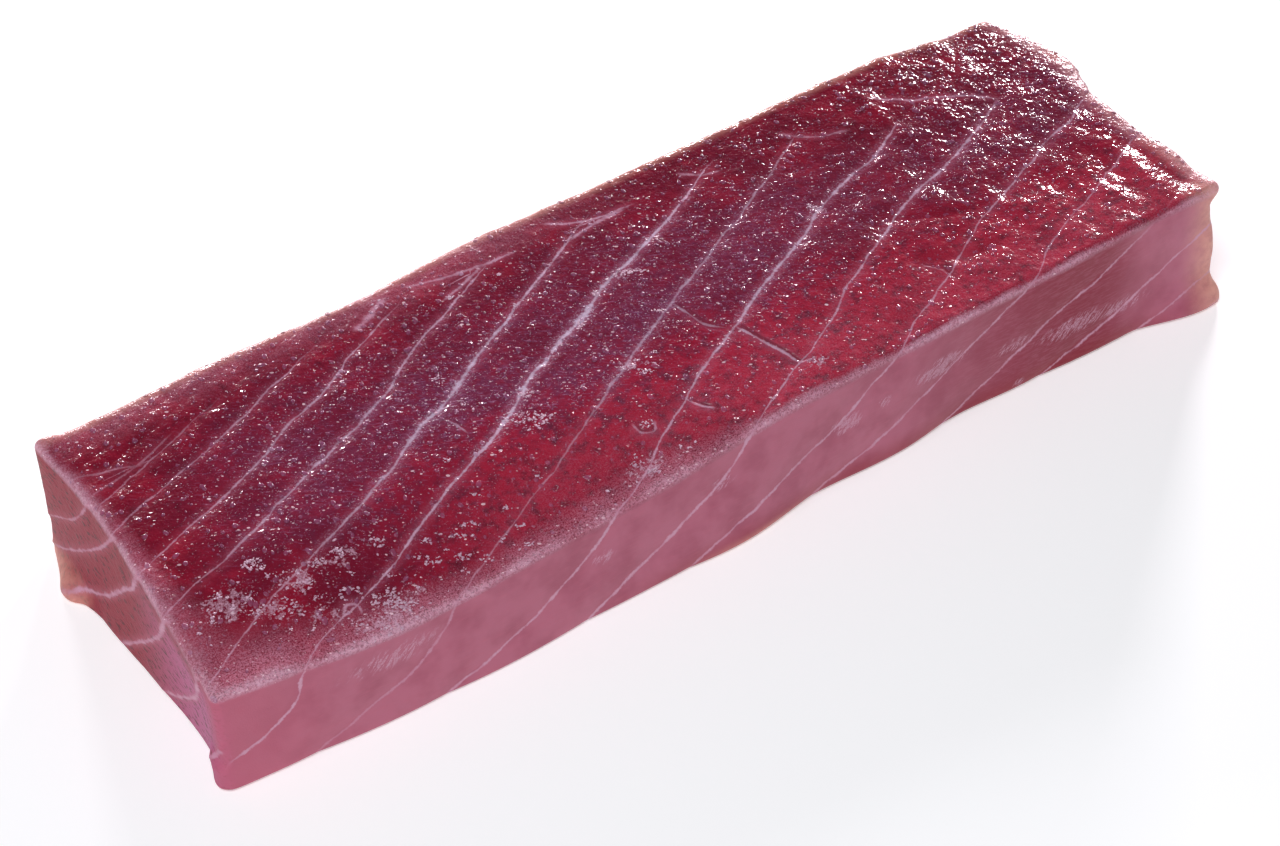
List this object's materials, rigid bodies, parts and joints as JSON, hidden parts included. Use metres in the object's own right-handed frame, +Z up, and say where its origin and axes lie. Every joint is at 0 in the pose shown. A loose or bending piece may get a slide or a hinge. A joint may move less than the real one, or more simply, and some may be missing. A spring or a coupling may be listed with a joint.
{
  "type": "raw tuna loin block",
  "caption": "Knife-cut block of raw tuna loin with white tissue lines between its flakes, lying flat on its base.",
  "frame": {"origin": "middle of the bounding box of the flat base that the block lies on", "axes": "+X runs along the loin, -Y is the front cut face, +Z is up, square to the base"},
  "size_m": [0.2838, 0.0962, 0.0358],
  "materials": {
    "raw_flesh": "moist raw fish flesh, deep crimson on top, rose on the cut sides, thin white tissue lines"
  },
  "bodies": {
    "root": {"tuna_loin": "raw_flesh"}
  },
  "joints": []
}
